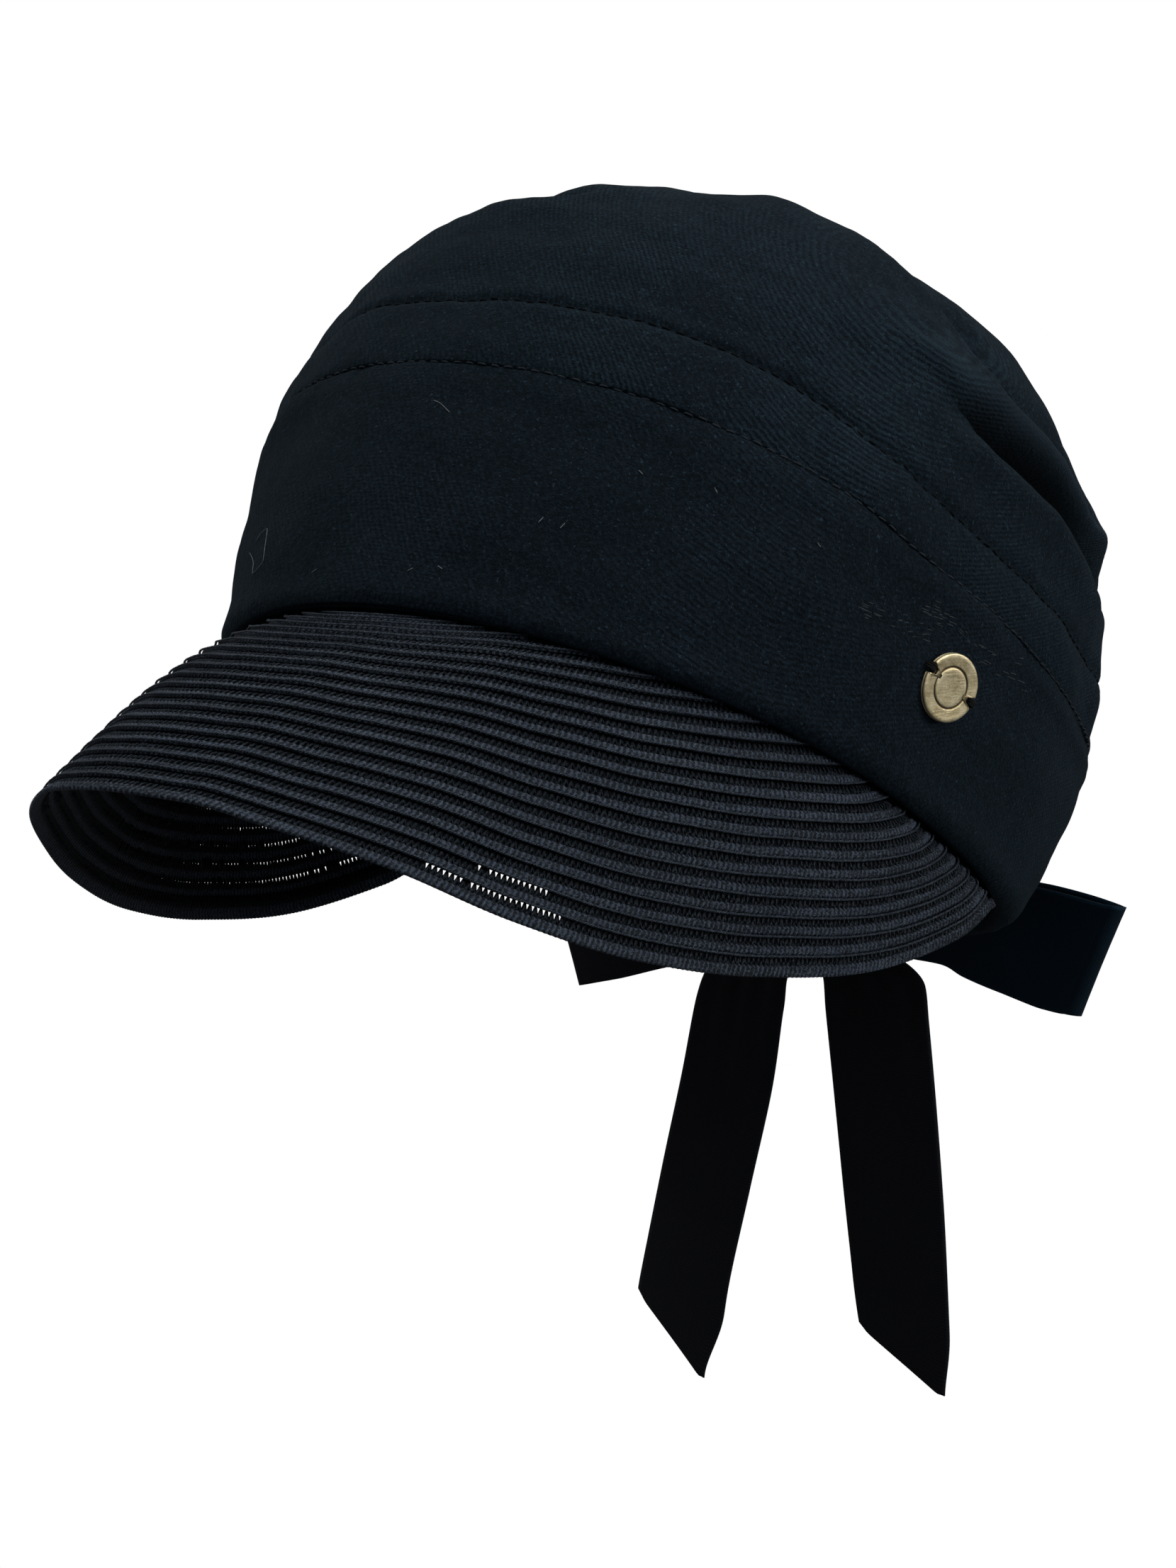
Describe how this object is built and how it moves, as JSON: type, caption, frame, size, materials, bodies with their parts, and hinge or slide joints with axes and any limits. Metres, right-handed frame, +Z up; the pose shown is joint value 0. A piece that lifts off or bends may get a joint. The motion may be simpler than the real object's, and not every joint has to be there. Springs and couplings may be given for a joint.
{
  "type": "peaked soft cap",
  "caption": "Soft puffed cap with a wide head band, a deep curved peak of sewn braid, a small round metal badge at the side and a ribbon bow at the nape.",
  "frame": {"origin": "centre of the head opening, in the plane of the rim; the rim plane leans 28 degrees about X, front high and nape low, as the cap is worn", "axes": "+Z up, the cap faces -Y, the wearer's left (the side with the badge) is +X"},
  "size_m": [0.1971, 0.3184, 0.305],
  "materials": {
    "navy_rib_knit": "fine ribbed knit, dull, dark navy",
    "navy_rib_knit_top": "fine ribbed knit, dull, dark navy, a little lighter",
    "navy_sewn_braid": "rows of openwork braid with a slightly shiny cord along each row",
    "black_ribbon": "fine matt ribbon, near black",
    "aged_brass": "satin, a little tarnished",
    "black_thread": "matt sewing thread"
  },
  "bodies": {
    "root": {"head_band": "navy_rib_knit", "crown_top": "navy_rib_knit_top", "peak": "navy_sewn_braid", "badge": "aged_brass", "badge_thread_upper": "black_thread", "badge_thread_lower": "black_thread", "bow_knot": "black_ribbon", "bow_loop_left": "black_ribbon", "bow_loop_right": "black_ribbon", "bow_tail_left": "black_ribbon", "bow_tail_right": "black_ribbon"}
  },
  "joints": []
}
